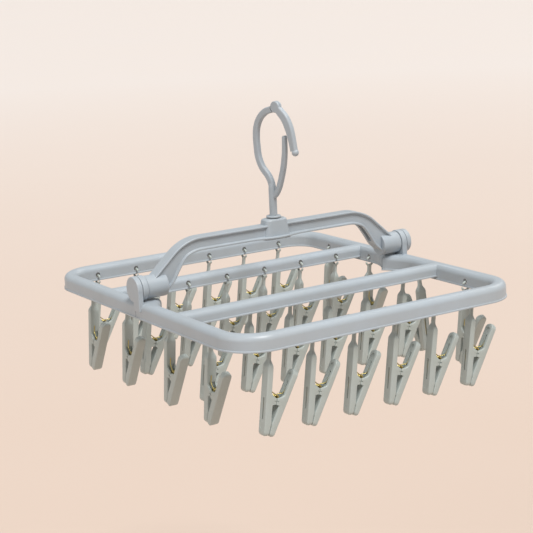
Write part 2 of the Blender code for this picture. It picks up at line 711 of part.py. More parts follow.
def clips():
    meshes = clip_meshes()
    for name, ring_centre, turn, own_lever in clip_places():
        place = Matrix.Rotation(math.radians(turn), 4, "Z")
        place.translation = Vector(ring_centre) * MM
        if own_lever:
            finished(add_object("leg_" + name, meshes["leg"], place), CLIP_PLASTIC)
            pivot = place @ Matrix.Translation(JAW_PIVOT * MM)
            finished(add_object("lever_" + name, meshes["lever"], pivot), CLIP_PLASTIC)
        else:
            finished(add_object("clip_" + name, meshes["clip"], place), CLIP_PLASTIC)


clear_scene()
PIECES = collection("clip_drying_hanger")
hook_body()
hook_claw()
claw_pin()
swivel_washer()
swivel_screw()
arch_handle()
hinge_pin("hinge_pin_left", -1)
hinge_pin("hinge_pin_right", 1)
half_frame("front_frame", FRONT_ROW_SHIFT, False)
half_frame("back_frame", 0.0, True)
clips()
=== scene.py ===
"""Looks of the clip drying hanger: fine surfaces, springs, materials, floor, light and camera.

Metres in the frame, millimetres in the measures below. A piece is drawn where the CAD node that it stands for
lies. Everything that depends on a joint takes its place from the frame's joints.
"""

import json
import math

import bmesh
import bpy
from mathutils import Matrix, Vector

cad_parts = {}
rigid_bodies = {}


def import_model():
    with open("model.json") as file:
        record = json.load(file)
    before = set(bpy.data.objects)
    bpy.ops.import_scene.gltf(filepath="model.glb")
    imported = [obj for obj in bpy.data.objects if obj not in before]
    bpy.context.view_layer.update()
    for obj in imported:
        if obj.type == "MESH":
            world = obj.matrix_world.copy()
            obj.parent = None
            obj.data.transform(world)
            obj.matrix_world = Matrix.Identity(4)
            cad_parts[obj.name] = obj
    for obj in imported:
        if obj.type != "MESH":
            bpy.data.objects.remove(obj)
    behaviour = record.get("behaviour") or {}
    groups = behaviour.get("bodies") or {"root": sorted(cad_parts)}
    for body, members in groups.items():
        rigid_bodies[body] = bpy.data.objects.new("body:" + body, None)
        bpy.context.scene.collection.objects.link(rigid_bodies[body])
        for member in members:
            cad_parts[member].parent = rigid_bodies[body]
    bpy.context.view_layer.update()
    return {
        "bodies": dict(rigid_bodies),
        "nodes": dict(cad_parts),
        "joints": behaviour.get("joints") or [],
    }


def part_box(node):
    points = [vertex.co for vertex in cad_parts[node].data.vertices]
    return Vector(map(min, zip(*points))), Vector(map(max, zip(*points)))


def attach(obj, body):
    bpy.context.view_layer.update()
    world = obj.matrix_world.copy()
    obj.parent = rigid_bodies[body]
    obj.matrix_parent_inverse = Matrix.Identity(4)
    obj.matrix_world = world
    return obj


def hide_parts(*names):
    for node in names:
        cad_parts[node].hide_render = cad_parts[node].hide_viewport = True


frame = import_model()
JOINTS = {joint["name"]: joint for joint in frame["joints"]}

MM = 0.001
GAP = 0.3                    # between pieces that touch on the real hanger

HINGE_Z = JOINTS["front_fold"]["pos_m"][2] / MM
FRAME_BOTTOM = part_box("front_frame")[0].z / MM

# hinge; each pair is where a piece starts and ends along X, outwards from the middle
EAR_RADIUS = 12.0
FRAME_TOP = HINGE_Z - EAR_RADIUS - GAP
OUTER_EAR = (154.6, 160.0)
INNER_EAR = (148.3, 154.3)
BARREL = (126.0, 148.0)
BARREL_RADIUS = 11.0
PIN_HOLE_RADIUS = 2.8
PIN_ENDS = (130.7, 158.5)
NECK_DEPTH = 8.0             # how far an ear's neck reaches down into its arm

# half frames, measured from the hinge's middle
RAIL_WIDTH = 14.0
HALF_LENGTH = 158.0
HALF_DEPTH = 184.0
CORNER_RADIUS = 38.0
CROSSBAR = 58.0
CROSSBAR_RISE = 3.0          # how much higher the crossbar's underside is than the other rails'
CROSSBAR_REACH = 151.0
CROSSBAR_TOP = FRAME_TOP - 0.05
SADDLE_WIDTH = 14.0          # how much wider an arm is at the hinge, and over what length
SADDLE_LENGTH = 34.0
WALL = 1.6
TOP_WALL = 2.2
TOP_ROUND = 6.0              # the radius of a rail's round top
ROUND_STEPS = 9
CHANNEL_SHOULDER = 5.0       # how far below a rail's top its hollow starts to narrow
CHANNEL_DRAW = 3.6           # how far in from the rail's side the hollow's top is
LIP = 0.75                   # how far the lip round a rail's bottom stands out
LIP_HEIGHT = 1.5
CUTTER_REACH = 5.0           # how far a channel's cutter runs past the rail's underside

# clips, in their own millimetres from the ring's centre
RING_RADIUS = 4.4
RING_WIRE = 1.15
RING_OPENING = (150.0, 190.0)    # the degrees between which the ring is open
HOLE_RADIUS = 2.6
HOLE_RISE = 0.6              # a hole's middle above the wire that lies in it
STEM_HALF = (1.15, 2.5)      # half thickness and half width
BODY_HALF = (2.8, 5.0)       # half thickness and half width
SHOULDER = (-11.0, -18.5)    # where the stem starts and stops widening into the body
LEVER_TOP = -17.0
PIVOT_Z = -46.0
NOSE_END = -51.0             # the bottom of the fulcrum, where the two legs meet
WEDGE = (3.2, -51.3, -67.5)  # depth in each leg, top and bottom
TIP_Z = -79.0
JAW_ANGLE = 21.5             # between the two legs
TIP_HALF = 2.4               # how far the line between the legs is from the hooked one's middle at the tip
NOTCH = (-47.8, -48.4, 1.6)  # top, bottom and depth of the fine slot under the fulcrum
TEETH = (-70.2, 0.9, 0.2)    # where the tip's teeth start, how far apart they are and how deep
ROOM_HALF = 3.1              # half the width between the cheeks that hold the coil
TOUCH = 0.15                 # what each leg stays back from the line between the two
CLIP_LEAN = 7.5
SPRING_WIRE = 0.42
COIL_TURNS = 4.25
COIL_RADIUS = 2.3
COIL_HALF = 2.35

# arch handle
ARCH_FLAT = 86.0
ARCH_BEND = 40.0
ARCH_SLOPE = 42.0
ARCH_FOOT = 138.0
ARCH_MIDDLE = HINGE_Z + 33.9
ARCH_HALF_HEIGHT = 6.6
FOOT_FLARE = (104.0, 126.0, 6.5)    # a leg's underside drops from the first x to the second, by this much
POCKET_END = 122.0           # how far out the arch is hollow underneath
ARCH_HALF_WIDTH = 7.0
FLANGE = 2.1
WEB_HALF = 5.0
POCKET_HALF = 3.0
BOSS_TOP = HINGE_Z + 45.9
BOSS_BOTTOM = HINGE_Z + 26.0
BOSS_LOW = (15.5, 9.0)
BOSS_HIGH = (12.0, 7.9)
BOSS_CORNER = 5.4
BOSS_ROUND = 2.4
BOSS_WALL = 4.0
BOSS_BORE = 6.5
STEM_HOLE = 4.2
SWELL_LENGTH = 31.0          # the lower flanges swell around the boss, over this length each way
SWELL = 5.6

# hook, in its own upright plane: forwards (negative) and back, then up
HOOK_TURN = Matrix.Rotation(math.radians(13.0), 4, "Z")
HOOK_HALF = 2.6
KNUCKLE = (-9.8, 8.4)
KNUCKLE_RADIUS = 5.6
BACK_ARM = [(-9.8, 8.4), (-4.0, 5.8), (4.0, 3.3), (11.6, -2.4), (16.8, -11.0), (18.6, -21.0), (18.2, -32.5),
            (16.8, -42.5), (12.2, -52.0), (4.8, -59.5), (0.8, -66.5), (0.0, -73.0), (0.0, -79.0)]
TONGUE = [(0.4, -80.5), (-5.0, -77.0), (-9.8, -69.5), (-13.9, -58.5), (-16.9, -48.0), (-18.9, -36.0),
          (-19.4, -26.0), (-19.5, -19.0)]
CLAW = [(-9.8, 8.4), (-14.9, 4.0), (-21.4, -2.4), (-26.0, -11.0), (-29.0, -20.5), (-31.6, -33.0)]
CLAW_TIP = (-33.0, -34.6)
CLAW_BALL = 3.5
BACK_ARM_WIDTH = 6.6
CLAW_PIN_HOLE = 1.6
CLAW_PIN_COVER = 0.6
KNUCKLE_ROOM = KNUCKLE_RADIUS + 0.5
STEM = [(0, 3.5), (0.4, 3.85), (33.0, 3.85), (36.5, 3.5), (38.5, 2.7), (39.5, 1.4)]   # height, radius
SCREW_HOLE = (1.6, 8.0)      # radius and depth
STEM_FOOT = BOSS_TOP - BOSS_WALL - 0.1
COLLAR = (-100.5, -98.6)
COLLAR_RADIUS = 7.3

# floor and camera
FLOOR_Z = -620.0
CAMERA_ANGLES = (32.03, 12.46, -2.71)      # yaw, pitch and roll, in degrees
CAMERA_BACK = (9.2, 3.1, 1511.7)           # from the hinge: left, down and back
CAMERA_LENS = 103.4


# ---------------------------------------------------------------- mesh tools

def link(name, mesh):
    thing = bpy.data.objects.new(name, mesh)
    bpy.context.scene.collection.objects.link(thing)
    return thing


def loft(name, rings):
    """A closed skin through rings of points, in millimetres; each ring has as many points as the next."""
    made = bmesh.new()
    loops = [[made.verts.new(Vector(point) * MM) for point in ring] for ring in rings]
    made.faces.new(loops[0][::-1])
    made.faces.new(loops[-1])
    for one, two in zip(loops, loops[1:]):
        for a, b, c, d in zip(one, one[1:] + one[:1], two[1:] + two[:1], two):
            made.faces.new((a, b, c, d))
    bmesh.ops.recalc_face_normals(made, faces=made.faces)
    mesh = bpy.data.meshes.new(name)
    made.to_mesh(mesh)
    made.free()
    return link(name, mesh)


def arc(centre, radius, first, last, steps):
    out = []
    for k in range(steps + 1):
        angle = math.radians(first + (last - first) * k / steps)
        out.append((centre[0] + radius * math.cos(angle), centre[1] + radius * math.sin(angle)))
    return out


def rounded(low_x, high_x, half_y, corner, steps=4):
    """A rectangle with round corners."""
    corner = min(corner, (high_x - low_x) / 2 - 0.02, half_y - 0.02)
    centres = [(high_x - corner, half_y - corner, 0), (low_x + corner, half_y - corner, 90),
               (low_x + corner, corner - half_y, 180), (high_x - corner, corner - half_y, 270)]
    return [p for x, y, turn in centres for p in arc((x, y), corner, turn, turn + 90, steps)]


def smooth_path(points, per_span):
    """A Catmull-Rom curve through points."""
    points = [Vector(p) for p in points]
    route = [points[0] * 2 - points[1], *points, points[-1] * 2 - points[-2]]
    out = []
    for a, b, c, d in zip(route, route[1:], route[2:], route[3:]):
        for k in range(per_span):
            t = k / per_span
            out.append(0.5 * (2 * b + (c - a) * t + (2 * a - 5 * b + 4 * c - d) * t**2
                              + (3 * b - a - 3 * c + d) * t**3))
    return out + [points[-1]]


def smooth(t):
    """0 to 1 with soft ends, and held at 0 and 1 outside them."""
    t = min(max(t, 0.0), 1.0)
    return t * t * (3 - 2 * t)


def turned(name, profile, start, along, sides=56):
    """A turned piece: (distance, radius) pairs along an axis from start."""
    start, along = Vector(start), Vector(along).normalized()
    across = along.orthogonal().normalized()
    other = along.cross(across)
    rings = [[start + along * far + radius * (across * math.cos(a) + other * math.sin(a))
              for a in (2 * math.pi * k / sides for k in range(sides))] for far, radius in profile]
    return loft(name, rings)


def drum(name, radius, start, end, soft=0.4, sides=56):
    """A cylinder with soft rims."""
    length = (Vector(end) - Vector(start)).length
    turn = [math.radians(22.5 * k) for k in range(5)]
    rim = [(soft - soft * math.cos(a), radius - soft + soft * math.sin(a)) for a in turn]
    profile = rim + [(length - far, size) for far, size in rim[::-1]]
    return turned(name, profile, start, Vector(end) - Vector(start), sides)


def hole(radius, start, end, sides=28):
    """A cutter for a round hole."""
    length = (Vector(end) - Vector(start)).length
    return turned("cutter", [(0, radius), (length, radius)], start, Vector(end) - Vector(start), sides)


def prism(name, outline, place, low, high, soft=0.0):
    """A flat outline given a thickness from low to high, moved by place, with its rims softened."""
    curve = bpy.data.curves.new(name, "CURVE")
    curve.dimensions = "2D"
    curve.fill_mode = "BOTH"
    curve.extrude = (high - low) * MM / 2
    spline = curve.splines.new("POLY")
    spline.points.add(len(outline) - 1)
    for point, (x, y) in zip(spline.points, outline):
        point.co = (x * MM, y * MM, 0.0, 1.0)
    spline.use_cyclic_u = True
    drawn = link(name + "_drawn", curve)
    bpy.context.view_layer.update()
    mesh = bpy.data.meshes.new_from_object(drawn.evaluated_get(bpy.context.evaluated_depsgraph_get()))
    bpy.data.objects.remove(drawn)
    made = bmesh.new()
    made.from_mesh(mesh)
    bmesh.ops.remove_doubles(made, verts=made.verts, dist=1e-6)
    bmesh.ops.recalc_face_normals(made, faces=made.faces)
    if soft:
        level = (high - low) * MM / 2
        rims = [edge for edge in made.edges if edge.calc_face_angle(0.0) > 0.6
                and all(abs(abs(v.co.z) - level) < 1e-6 for v in edge.verts)]
        bmesh.ops.bevel(made, geom=rims, offset=soft * MM, segments=3, profile=0.5, affect="EDGES",
                        clamp_overlap=True)
    made.to_mesh(mesh)
    made.free()
    mesh.transform(place @ Matrix.Translation((0, 0, (low + high) / 2 * MM)))
    return link(name, mesh)


def block(low, high):
    """A box-shaped cutter between two corners."""
    outline = [(low[0], low[1]), (high[0], low[1]), (high[0], high[1]), (low[0], high[1])]
    return prism("cutter", outline, Matrix(), low[2], high[2])


def combined(thing, other, operation):
    """One boolean, applied at once; the other object is used up."""
    step = thing.modifiers.new(operation.lower(), "BOOLEAN")
    step.operation, step.solver, step.object = operation, "EXACT", other
    bpy.context.view_layer.update()
    mesh = bpy.data.meshes.new_from_object(thing.evaluated_get(bpy.context.evaluated_depsgraph_get()))
    thing.modifiers.clear()
    thing.data = mesh
    bpy.data.objects.remove(other)
    return thing


def cut(thing, other):
    return combined(thing, other, "DIFFERENCE")


def join(thing, other):
    return combined(thing, other, "UNION")


def shaded(thing, look):
    """Smooth shading that keeps flat faces flat, and the piece's material."""
    thing.data.materials.clear()
    thing.data.materials.append(look)
    thing.data.shade_smooth()
    thing.data.set_sharp_from_angle(angle=math.radians(38))
    return thing


def placed(thing, name, body, look, nodes):
    """Names a piece, shades it, and ties it to its body and the nodes it stands for."""
    thing.name = name
    shaded(thing, look)
    weighted = thing.modifiers.new("flat_faces", "WEIGHTED_NORMAL")
    weighted.keep_sharp = True
    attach(thing, body)
    if nodes:
        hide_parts(*nodes)
    return thing


END_VIEW = Matrix(((0, 0, 1, 0), (1, 0, 0, 0), (0, 1, 0, 0), (0, 0, 0, 1)))    # drawn x, y become Y, Z


# ---------------------------------------------------------------- materials

class Nodes:
    """Short forms for building a material's nodes."""

    def __init__(self, name):
        self.material = bpy.data.materials.new(name)
        self.material.use_nodes = True
        self.tree = self.material.node_tree
        self.shader = self.tree.nodes["Principled BSDF"]

    def add(self, kind, settings=(), inputs=()):
        node = self.tree.nodes.new("ShaderNode" + kind)
        for key, value in dict(settings).items():
            setattr(node, key, value)
        for key, value in dict(inputs).items():
            self.put(node.inputs[key], value)
        return node

    def put(self, socket, value):
        if isinstance(value, bpy.types.NodeSocket):
            self.tree.links.new(value, socket)
        else:
            socket.default_value = value

    def noise(self, scale, detail, stretch=(1, 1, 1), rough=0.5):
        place = self.add("TexCoord").outputs["Object"]
        sized = self.add("Mapping", inputs={"Vector": place, "Scale": stretch}).outputs["Vector"]
        return self.add("TexNoise", inputs={"Vector": sized, "Scale": scale, "Detail": detail,
                                            "Roughness": rough}).outputs["Fac"]

    def ranged(self, value, low, high, to_low, to_high):
        return self.add("MapRange", inputs={"Value": value, "From Min": low, "From Max": high,
                                            "To Min": to_low, "To Max": to_high}).outputs["Result"]

    def math(self, operation, one, two):
        node = self.add("Math", {"operation": operation})
        self.put(node.inputs[0], one)
        self.put(node.inputs[1], two)
        return node.outputs["Value"]

    def mix(self, share, one, two):
        node = self.add("Mix", {"data_type": "RGBA"})
        self.put(node.inputs[0], share)
        self.put(node.inputs[6], one)
        self.put(node.inputs[7], two)
        return node.outputs[2]

    def edges(self, radius):
        """1 along rounded and sharp edges and 0 on flats, from the bevelled normal."""
        soft = self.add("Bevel", {"samples": 6}, {"Radius": radius * MM}).outputs["Normal"]
        true = self.add("NewGeometry").outputs["True Normal"]
        dot = self.add("VectorMath", {"operation": "DOT_PRODUCT"}, {0: soft, 1: true}).outputs["Value"]
        return self.ranged(dot, 0.995, 0.90, 0.0, 1.0)


def tint(colour, factor):
    return (*(min(c * factor, 1.0) for c in colour), 1.0)


def plastic(name, colour, cool, roughness, edge_radius):
    """Satin moulded plastic: slow cloudy variation, fine mould grain, and worn, slightly paler edges."""
    made = Nodes(name)
    clouds = made.noise(26.0, 3.0)
    flow = made.noise(7.0, 2.0, (1.0, 1.0, 3.0))
    speck = made.noise(900.0, 2.0, rough=0.7)
    base = made.mix(made.ranged(clouds, 0.3, 0.7, 0.0, 1.0), tint(colour, 0.96), tint(cool, 1.03))
    base = made.mix(made.ranged(flow, 0.35, 0.7, 0.0, 0.35), base, tint(colour, 1.06))
    base = made.mix(made.ranged(speck, 0.62, 0.8, 0.0, 0.25), base, tint(colour, 0.82))
    rubbed = made.ranged(made.noise(210.0, 4.0), 0.35, 0.65, 0.25, 1.0)
    worn = made.math("MULTIPLY", made.edges(edge_radius), rubbed)
    base = made.mix(made.math("MULTIPLY", worn, 0.40), base, tint(colour, 1.28))
    made.put(made.shader.inputs["Base Color"], base)
    rough = made.ranged(made.noise(60.0, 5.0), 0.3, 0.7, roughness - 0.06, roughness + 0.08)
    made.put(made.shader.inputs["Roughness"], made.math("ADD", rough, made.math("MULTIPLY", worn, 0.08)))
    grain = made.add("Bump", inputs={"Strength": 0.16, "Distance": 0.00012,
                                     "Height": made.noise(1500.0, 3.0, rough=0.6)}).outputs["Normal"]
    dimples = made.add("Bump", inputs={"Strength": 0.10, "Distance": 0.0006, "Height": made.noise(38.0, 2.0),
                                       "Normal": grain}).outputs["Normal"]
    made.put(made.shader.inputs["Normal"], dimples)
    made.shader.inputs["IOR"].default_value = 1.49
    made.shader.inputs["Subsurface Weight"].default_value = 0.06
    made.shader.inputs["Subsurface Radius"].default_value = (1.0, 0.9, 0.8)
    made.shader.inputs["Subsurface Scale"].default_value = 0.0015
    return made.material


def metal(name, colour, roughness, stretch):
    """Drawn or turned metal: streaks along the piece, duller patches and bright rubbed edges."""
    made = Nodes(name)
    streaks = made.noise(420.0, 4.0, stretch)
    patches = made.noise(90.0, 3.0)
    base = made.mix(made.ranged(streaks, 0.3, 0.7, 0.0, 1.0), tint(colour, 0.82), tint(colour, 1.08))
    base = made.mix(made.ranged(patches, 0.5, 0.8, 0.0, 0.5), base, tint(colour, 0.62))
    base = made.mix(made.math("MULTIPLY", made.edges(0.25), 0.5), base, tint(colour, 1.35))
    made.put(made.shader.inputs["Base Color"], base)
    rough = made.ranged(streaks, 0.3, 0.7, roughness - 0.08, roughness + 0.12)
    made.put(made.shader.inputs["Roughness"], rough)
    made.shader.inputs["Metallic"].default_value = 1.0
    made.put(made.shader.inputs["Normal"], made.add(
        "Bump", inputs={"Strength": 0.2, "Distance": 0.0001, "Height": streaks}).outputs["Normal"])
    return made.material


def floor_paint_and_painted_falloff():
    """Pale warm paint with painted light in it: darker near the middle and paler with distance, a fall-off of
    light put into the colour.
    """
    made = Nodes("pale_floor")
    place = made.add("TexCoord").outputs["Object"]
    far = made.add("VectorMath", {"operation": "LENGTH"}, {0: place}).outputs["Value"]
    # painted shade near the hanger and painted light far off: the floor's fall-off of light, put into its
    # colour
    near_painted_shade, far_painted_light = (0.585, 0.468, 0.392, 1.0), (0.64, 0.585, 0.55, 1.0)
    colour = made.mix(made.ranged(far, 1.0, 7.0, 0.0, 1.0), near_painted_shade, far_painted_light)
    colour = made.mix(made.ranged(made.noise(0.9, 3.0), 0.3, 0.7, 0.0, 0.12), colour, (0.66, 0.58, 0.52, 1.0))
    made.put(made.shader.inputs["Base Color"], colour)
    made.shader.inputs["Roughness"].default_value = 0.85
    return made.material


# colour, cooler colour, roughness, and how wide the worn edges are in millimetres
HANGER = plastic("hanger_plastic_fine", (0.375, 0.415, 0.445), (0.37, 0.42, 0.465), 0.36, 0.7)
CLIP = plastic("clip_plastic_fine", (0.385, 0.425, 0.40), (0.39, 0.435, 0.425), 0.42, 0.5)
PIN = metal("pin_metal_fine", (0.62, 0.62, 0.60), 0.30, (1, 8, 8))
SPRING = metal("spring_wire_fine", (0.55, 0.45, 0.17), 0.32, (4, 4, 4))


# ---------------------------------------------------------------- half frames

def saddle(grow, end):
    """The inner side of an arm near the hinge, where the arm widens in a hollow curve towards y = end."""
    inner = HALF_LENGTH - RAIL_WIDTH - grow
    out = [(inner - SADDLE_WIDTH * (k / 16) ** 2, -SADDLE_LENGTH * (1 - k / 16)) for k in range(17)]
    out[-1] = (out[-1][0], end)
    return out


def loop_sides(grow, end):
    """The outer and inner side of the arms and outer rail, from the left arm's end to the right arm's."""
    far_x, far_y = HALF_LENGTH + grow, -HALF_DEPTH - grow
    near_x, near_y = HALF_LENGTH - RAIL_WIDTH - grow, -HALF_DEPTH + RAIL_WIDTH + grow
    radius, tight = CORNER_RADIUS + grow, CORNER_RADIUS - RAIL_WIDTH - grow
    right_saddle = saddle(grow, end)
    right_outer = arc((far_x - radius, far_y + radius), radius, 270, 360, 20)
    right_outer += [(far_x, y) for _, y in right_saddle]
    right_inner = arc((near_x - tight, near_y + tight), tight, 270, 360, 20) + right_saddle
    return [[(-x, y) for x, y in side[::-1]] + side for side in (right_outer, right_inner)]


def crossbar_sides(grow, end):
    """The two sides of the crossbar, which runs from x = -end to end."""
    near, far = -CROSSBAR + grow, -CROSSBAR - RAIL_WIDTH - grow
    return [(-end, far), (end, far)], [(-end, near), (end, near)]


def stacked(name, sides, end, levels):
    """A rail: a solid between two sides, drawn at several (height, grown width) levels."""
    made = bmesh.new()
    rings = []
    for height, grow in levels:
        rings.append([[made.verts.new(Vector((x, y, height)) * MM) for x, y in side]
                      for side in sides(grow, end)])
    for outer, inner in (rings[0], rings[-1]):
        for corners in zip(outer, outer[1:], inner[1:], inner):
            made.faces.new(corners)
    loops = [outer + inner[::-1] for outer, inner in rings]
    for one, two in zip(loops, loops[1:]):
        for corners in zip(one, one[1:] + one[:1], two[1:] + two[:1], two):
            made.faces.new(corners)
    bmesh.ops.recalc_face_normals(made, faces=made.faces)
    mesh = bpy.data.meshes.new(name)
    made.to_mesh(mesh)
    made.free()
    return link(name, mesh)


def rail_levels(bottom, top):
    """A rail's section: a soft lip at the bottom, straight sides and an almost half-round top."""
    lip_top = bottom + LIP_HEIGHT
    levels = [(bottom, LIP - 0.35), (bottom + 0.12, LIP - 0.1), (bottom + 0.4, LIP), (lip_top - 0.3, LIP),
              (lip_top, LIP - 0.15), (lip_top + 0.2, 0.15), (lip_top + 0.5, 0.0)]
    for k in range(ROUND_STEPS + 1):
        angle = math.radians(90 * k / ROUND_STEPS)
        levels.append((top - TOP_ROUND + TOP_ROUND * math.sin(angle), TOP_ROUND * (math.cos(angle) - 1)))
    return levels


def channels(sides, end):
    """The hollow inside a rail, wide below and narrower under the round top."""
    return stacked("channel", sides, end, [
        (FRAME_BOTTOM - CUTTER_REACH, -WALL), (FRAME_TOP - CHANNEL_SHOULDER, -WALL),
        (FRAME_TOP - TOP_WALL, -CHANNEL_DRAW)])


def ear(side, low, high):
    """A hinge ear: a disc with a soft rim and the neck that stands on the arm."""
    near, far = sorted((side * low, side * high))
    disc = drum("ear", EAR_RADIUS, (near, 0, HINGE_Z), (far, 0, HINGE_Z), 0.9)
    edge, foot = -EAR_RADIUS + 0.25, FRAME_TOP - NECK_DEPTH
    outline = ([(edge, HINGE_Z), (edge, foot), (-GAP - 0.2, foot), (-GAP - 0.2, HINGE_Z - 6)]
               + arc((0, HINGE_Z), 5.0, 250, 180, 4))
    neck = prism("neck", outline, END_VIEW, near + 0.12, far - 0.12, soft=0.7)
    return join(disc, neck)


def ring_hole_places(half):
    """The hole of each clip's ring in a half frame: its middle and the way through the wall."""
    out = []
    for joint in JOINTS.values():
        if joint["name"].startswith("swing_" + half):
            through = Vector(joint["axis"]).cross((0, 0, 1))
            place = Vector(joint["pos_m"]) / MM + Vector((0, 0, RING_RADIUS + HOLE_RISE))
            out.append((place, through))
    return out


def half_frame(half):
    thing = stacked(half, loop_sides, -GAP, rail_levels(FRAME_BOTTOM, FRAME_TOP))
    bar = rail_levels(FRAME_BOTTOM + CROSSBAR_RISE, CROSSBAR_TOP)
    join(thing, stacked("crossbar", crossbar_sides, CROSSBAR_REACH, bar))
    cut(thing, channels(loop_sides, -GAP - WALL))
    cut(thing, channels(crossbar_sides, HALF_LENGTH - RAIL_WIDTH - GAP))
    for end, (low, high) in ((-1, OUTER_EAR), (1, INNER_EAR)):
        join(thing, ear(end, low, high))
        mouth = (end * (low - 1), 0, HINGE_Z)
        last = PIN_ENDS[1] if high > PIN_ENDS[1] else high + 1
        cut(thing, hole(PIN_HOLE_RADIUS, mouth, (end * last, 0, HINGE_Z)))
    if half == "back":
        thing.data.transform(Matrix.Rotation(math.pi, 4, "Z"))
    for place, through in ring_hole_places(half):
        cut(thing, hole(HOLE_RADIUS, place - through * WALL, place + through * WALL, 20))
    return placed(thing, half + "_half_shell", half + "_half", HANGER, [half + "_frame"])


# ---------------------------------------------------------------- arch handle

def arch_path():
    """The middle line of the arch in the XZ plane, from the left foot to the right one."""
    centre = (ARCH_FLAT, ARCH_MIDDLE - ARCH_BEND)
    bend = arc(centre, ARCH_BEND, 90, 90 - ARCH_SLOPE, 18)
    fall = math.tan(math.radians(ARCH_SLOPE))
    last = bend[-1]
    run = ARCH_FOOT - last[0]
    leg = [(last[0] + run * k / 9, last[1] - run * k / 9 * fall) for k in range(1, 10)]
    flat = [(x, ARCH_MIDDLE) for x in (0, 4, 8, 12, 16, 20, 24, 28, 32, 44, 56, 68, 78)]
    right = flat + bend + leg
    return [(-x, z) for x, z in right[:0:-1]] + right


def arch_section(swell, drop, open_below):
    """The arch across its path: a web, a top flange, and lower ones that swell out or drop."""
    high, low = ARCH_HALF_HEIGHT, -ARCH_HALF_HEIGHT - drop
    soft = 0.7
    half = ARCH_HALF_WIDTH
    wide = half + swell
    depth = high - FLANGE - 0.3 if open_below else low + 0.8
    right = (
        [(0.0, high)]
        + arc((half - 0.8, high - 0.8), 0.8, 90, 0, 5)
        + arc((half - soft, high - FLANGE + soft), soft, 0, -90, 3)
        + arc((WEB_HALF + 0.8, high - FLANGE - 0.8), 0.8, 90, 180, 3)
        + arc((WEB_HALF + 0.8, low + FLANGE + 0.8), 0.8, 180, 270, 3)
        + arc((wide - soft, low + FLANGE - soft), soft, 90, 0, 3)
        + arc((wide - soft, low + soft), soft, 0, -90, 3)
        + [(POCKET_HALF + 0.4, low), (POCKET_HALF, low + 0.4)]
        + [(POCKET_HALF, depth - 0.6), (POCKET_HALF - 0.6, depth)]
    )
    return right + [(-y, n) for y, n in right[:0:-1]]


def arch_skin():
    path = arch_path()
    first, last, drop = FOOT_FLARE
    rings = []
    for k, (x, z) in enumerate(path):
        before, after = path[max(k - 1, 0)], path[min(k + 1, len(path) - 1)]
        along = Vector((after[0] - before[0], after[1] - before[1])).normalized()
        up = Vector((-along.y, along.x))
        near = max(0.0, 1 - abs(x) / SWELL_LENGTH)
        flare = drop * min(max((abs(x) - first) / (last - first), 0.0), 1.0) ** 1.5
        section = arch_section(SWELL * smooth(near) ** 1.1, flare, abs(x) < POCKET_END)
        rings.append([(x + up.x * n, y, z + up.y * n) for y, n in section])
    return loft("arch", rings)


def boss():
    """The tapered block that holds the hook's stem, with soft vertical edges and a round top."""
    base = BOSS_TOP - BOSS_ROUND
    rings = []
    for k in range(7):
        t = k / 6 * (base - BOSS_BOTTOM) / (BOSS_TOP - BOSS_BOTTOM)
        wide, deep = (low + (high - low) * t for low, high in zip(BOSS_LOW, BOSS_HIGH))
        rings.append((BOSS_BOTTOM + (BOSS_TOP - BOSS_BOTTOM) * t, wide, deep))
    for k in range(1, 8):
        a = math.radians(90 * k / 7)
        draw = BOSS_ROUND * (1 - math.cos(a))
        rings.append((base + BOSS_ROUND * math.sin(a), wide - draw, deep - draw))
    return loft("boss", [[(x, y, z) for x, y in rounded(-wide, wide, deep, BOSS_CORNER, 8)]
                         for z, wide, deep in rings])


def arch_handle():
    thing = arch_skin()
    for end in (-1, 1):
        near, far = ((end * x, 0, HINGE_Z) for x in BARREL)
        join(thing, drum("barrel", BARREL_RADIUS, near, far, 0.8))
    join(thing, boss())
    cut(thing, hole(BOSS_BORE, (0, 0, BOSS_BOTTOM - 10), (0, 0, BOSS_TOP - BOSS_WALL), 48))
    cut(thing, hole(STEM_HOLE, (0, 0, BOSS_BOTTOM), (0, 0, BOSS_TOP + 1), 48))
    for end in (-1, 1):
        near, far = ((end * x, 0, HINGE_Z) for x in (PIN_ENDS[0], BARREL[1] + 1))
        cut(thing, hole(PIN_HOLE_RADIUS, near, far))
    return placed(thing, "arch_handle_shell", "arch", HANGER, ["arch_handle"])


# ---------------------------------------------------------------- hook

def band(name, points, width, half_thickness, corner, per_span=8):
    """A flat-sided band along a path in the hook's plane; width is a function of the way along it."""
    path = smooth_path(points, per_span)
    rings = []
    for k, place in enumerate(path):
        along = (path[min(k + 1, len(path) - 1)] - path[max(k - 1, 0)]).normalized()
        left = Vector((-along.y, along.x))
        half = width(k / (len(path) - 1)) / 2
        section = rounded(-half_thickness, half_thickness, half, corner, 4)
        rings.append([(x, place.x + left.x * n, place.y + left.y * n) for x, n in section])
    return loft(name, rings)


def tongue_width(t):
    """Even, then narrower to a rounded free end."""
    return 5.4 - 1.2 * smooth((t - 0.5) / 0.5) - 2.2 * max(0.0, (t - 0.95) / 0.05) ** 2


def claw_width(t):
    """A broad middle between the knuckle and the ball at the tip."""
    return 7.4 + 1.4 * smooth(t / 0.4) - 1.8 * smooth((t - 0.55) / 0.45)


def knuckle(radius, low, high, soft=0.0):
    """A disc about the claw's pin, or a cutter of that size when it has no soft rims."""
    start, end = (low, *KNUCKLE), (high, *KNUCKLE)
    return drum("disc", radius, start, end, soft) if soft else hole(radius, start, end, 48)


